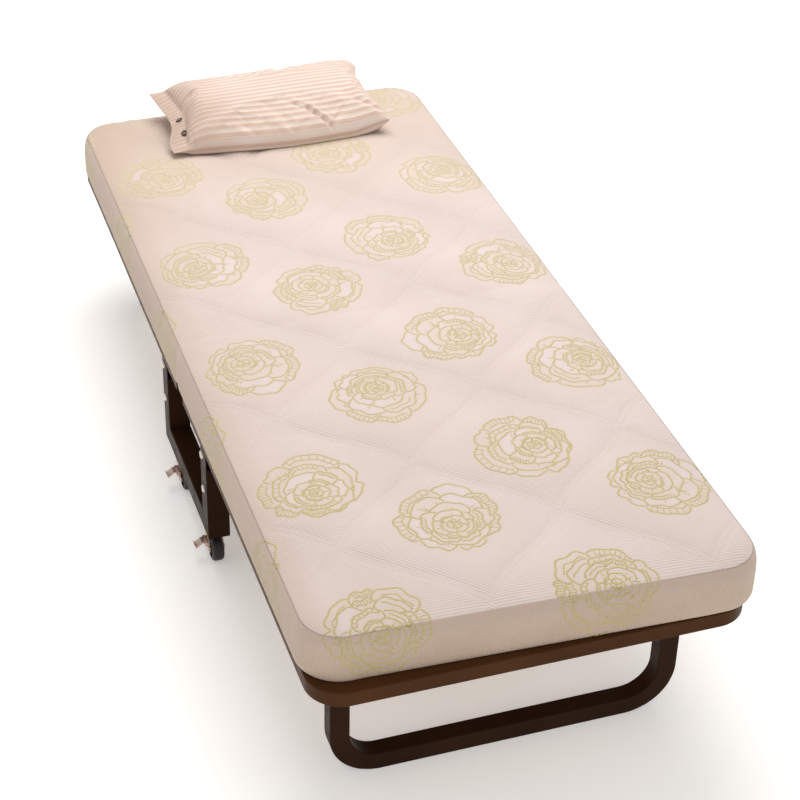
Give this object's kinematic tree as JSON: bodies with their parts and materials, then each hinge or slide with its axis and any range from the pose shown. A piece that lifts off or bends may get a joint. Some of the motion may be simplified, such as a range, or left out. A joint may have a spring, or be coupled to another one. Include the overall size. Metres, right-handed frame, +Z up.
{
  "type": "rollaway bed",
  "caption": "Folding rollaway bed with a quilted mattress on two hinged decks, a wheeled undercarriage, self-levelling end legs and a small pillow.",
  "frame": {"origin": "on the floor, under the middle of the open bed", "axes": "+Z up, +Y along the bed towards the head end, +X across it to the right seen from the foot end"},
  "size_m": [0.826, 1.9252, 0.533],
  "materials": {
    "frame_steel": "semi-gloss dark brown powder coat",
    "zinc_steel": "zinc plated",
    "nickel_steel": "nickel plated pressed steel",
    "caster_black": "satin black tread",
    "holder_plastic": "matt black",
    "slat_wood": "pale laminated birch",
    "mattress_fabric": "cream quilted knit with pale green flowers",
    "pillow_fabric": "cream and beige striped cotton"
  },
  "bodies": {
    "undercarriage": {"side_frame_left": "frame_steel", "side_frame_right": "frame_steel", "foot_tie_tube": "frame_steel", "head_tie_tube": "frame_steel", "hinge_bolts": "zinc_steel", "hinge_nuts": "zinc_steel", "tie_bolts": "zinc_steel", "link_pins": "zinc_steel", "caster_plates": "zinc_steel"},
    "foot_deck": {"foot_deck_rail": "frame_steel", "foot_cross_tubes": "frame_steel", "foot_hinge_lugs": "frame_steel", "foot_leg_brackets": "frame_steel", "foot_leg_bolts": "zinc_steel", "foot_slat_holders": "holder_plastic", "foot_slat_1": "slat_wood", "foot_slat_2": "slat_wood", "foot_slat_3": "slat_wood", "foot_slat_4": "slat_wood", "foot_slat_5": "slat_wood", "mattress_foot": "mattress_fabric", "mattress_fold_foot": "mattress_fabric"},
    "foot_leg_loop": {"foot_leg": "frame_steel", "foot_leg_pins": "zinc_steel"},
    "foot_links": {"foot_link_bars": "frame_steel"},
    "head_deck": {"head_deck_rail": "frame_steel", "head_cross_tubes": "frame_steel", "head_hinge_lugs": "frame_steel", "head_leg_brackets": "frame_steel", "head_leg_bolts": "zinc_steel", "head_slat_holders": "holder_plastic", "head_slat_1": "slat_wood", "head_slat_2": "slat_wood", "head_slat_3": "slat_wood", "head_slat_4": "slat_wood", "head_slat_5": "slat_wood", "mattress_head": "mattress_fabric", "mattress_fold_head": "mattress_fabric"},
    "head_leg_loop": {"head_leg": "frame_steel", "head_leg_pins": "zinc_steel"},
    "head_links": {"head_link_bars": "frame_steel"},
    "pillow": {"pillow": "pillow_fabric"},
    "caster_foot_left": {"caster_fork_foot_left": "nickel_steel", "caster_axle_foot_left": "nickel_steel"},
    "wheel_foot_left": {"caster_wheel_foot_left": "caster_black"},
    "lever_foot_left": {"brake_lever_foot_left": "nickel_steel"},
    "caster_foot_right": {"caster_fork_foot_right": "nickel_steel", "caster_axle_foot_right": "nickel_steel"},
    "wheel_foot_right": {"caster_wheel_foot_right": "caster_black"},
    "lever_foot_right": {"brake_lever_foot_right": "nickel_steel"},
    "caster_head_left": {"caster_fork_head_left": "nickel_steel", "caster_axle_head_left": "nickel_steel"},
    "wheel_head_left": {"caster_wheel_head_left": "caster_black"},
    "lever_head_left": {"brake_lever_head_left": "nickel_steel"},
    "caster_head_right": {"caster_fork_head_right": "nickel_steel", "caster_axle_head_right": "nickel_steel"},
    "wheel_head_right": {"caster_wheel_head_right": "caster_black"},
    "lever_head_right": {"brake_lever_head_right": "nickel_steel"}
  },
  "joints": [
    {"name": "fold_foot", "type": "hinge", "parent": "undercarriage", "child": "foot_deck", "pos_m": [0, -0.188, 0.27], "axis": [-1, 0, 0], "range_deg": [0, 85], "deforming": ["mattress_fold_foot"]},
    {"name": "fold_head", "type": "hinge", "parent": "undercarriage", "child": "head_deck", "pos_m": [0, 0.138, 0.27], "axis": [1, 0, 0], "range_deg": [0, 85], "deforming": ["mattress_fold_head"]},
    {"name": "level_foot_leg", "type": "hinge", "parent": "foot_deck", "child": "foot_leg_loop", "pos_m": [0, -0.812, 0.27], "axis": [1, 0, 0], "range_deg": [0, 85.5]},
    {"name": "swing_foot_links", "type": "hinge", "parent": "undercarriage", "child": "foot_links", "pos_m": [0, -0.222, 0.236], "axis": [-1, 0, 0], "range_deg": [0, 85.5]},
    {"name": "level_head_leg", "type": "hinge", "parent": "head_deck", "child": "head_leg_loop", "pos_m": [0, 0.812, 0.27], "axis": [-1, 0, 0], "range_deg": [0, 85.5]},
    {"name": "swing_head_links", "type": "hinge", "parent": "undercarriage", "child": "head_links", "pos_m": [0, 0.172, 0.236], "axis": [1, 0, 0], "range_deg": [0, 85.5]},
    {"name": "swivel_foot_left", "type": "hinge", "parent": "undercarriage", "child": "caster_foot_left", "pos_m": [-0.368, -0.147, 0.07], "axis": [0, 0, 1], "continuous": true},
    {"name": "spin_foot_left", "type": "hinge", "parent": "caster_foot_left", "child": "wheel_foot_left", "pos_m": [-0.368, -0.175, 0.028], "axis": [1, 0, 0], "continuous": true},
    {"name": "brake_foot_left", "type": "hinge", "parent": "caster_foot_left", "child": "lever_foot_left", "pos_m": [-0.3875, -0.165, 0.04], "axis": [0, -1, 0], "range_deg": [0, 14]},
    {"name": "swivel_foot_right", "type": "hinge", "parent": "undercarriage", "child": "caster_foot_right", "pos_m": [0.368, -0.147, 0.07], "axis": [0, 0, 1], "continuous": true},
    {"name": "spin_foot_right", "type": "hinge", "parent": "caster_foot_right", "child": "wheel_foot_right", "pos_m": [0.368, -0.175, 0.028], "axis": [1, 0, 0], "continuous": true},
    {"name": "brake_foot_right", "type": "hinge", "parent": "caster_foot_right", "child": "lever_foot_right", "pos_m": [0.3875, -0.165, 0.04], "axis": [0, 1, 0], "range_deg": [0, 14]},
    {"name": "swivel_head_left", "type": "hinge", "parent": "undercarriage", "child": "caster_head_left", "pos_m": [-0.368, 0.097, 0.07], "axis": [0, 0, 1], "continuous": true},
    {"name": "spin_head_left", "type": "hinge", "parent": "caster_head_left", "child": "wheel_head_left", "pos_m": [-0.368, 0.069, 0.028], "axis": [1, 0, 0], "continuous": true},
    {"name": "brake_head_left", "type": "hinge", "parent": "caster_head_left", "child": "lever_head_left", "pos_m": [-0.3875, 0.079, 0.04], "axis": [0, -1, 0], "range_deg": [0, 14]},
    {"name": "swivel_head_right", "type": "hinge", "parent": "undercarriage", "child": "caster_head_right", "pos_m": [0.368, 0.097, 0.07], "axis": [0, 0, 1], "continuous": true},
    {"name": "spin_head_right", "type": "hinge", "parent": "caster_head_right", "child": "wheel_head_right", "pos_m": [0.368, 0.069, 0.028], "axis": [1, 0, 0], "continuous": true},
    {"name": "brake_head_right", "type": "hinge", "parent": "caster_head_right", "child": "lever_head_right", "pos_m": [0.3875, 0.079, 0.04], "axis": [0, 1, 0], "range_deg": [0, 14]},
    {"name": "pillow_off", "type": "slide", "parent": "head_deck", "child": "pillow", "axis": [0, 1, 0], "range_m": [0, 0.35]}
  ],
  "couplings": [
    {"joint": "fold_head", "follows": "fold_foot", "ratio": 1},
    {"joint": "level_foot_leg", "follows": "fold_foot", "ratio": 1},
    {"joint": "swing_foot_links", "follows": "fold_foot", "ratio": 1},
    {"joint": "level_head_leg", "follows": "fold_foot", "ratio": 1},
    {"joint": "swing_head_links", "follows": "fold_foot", "ratio": 1}
  ]
}
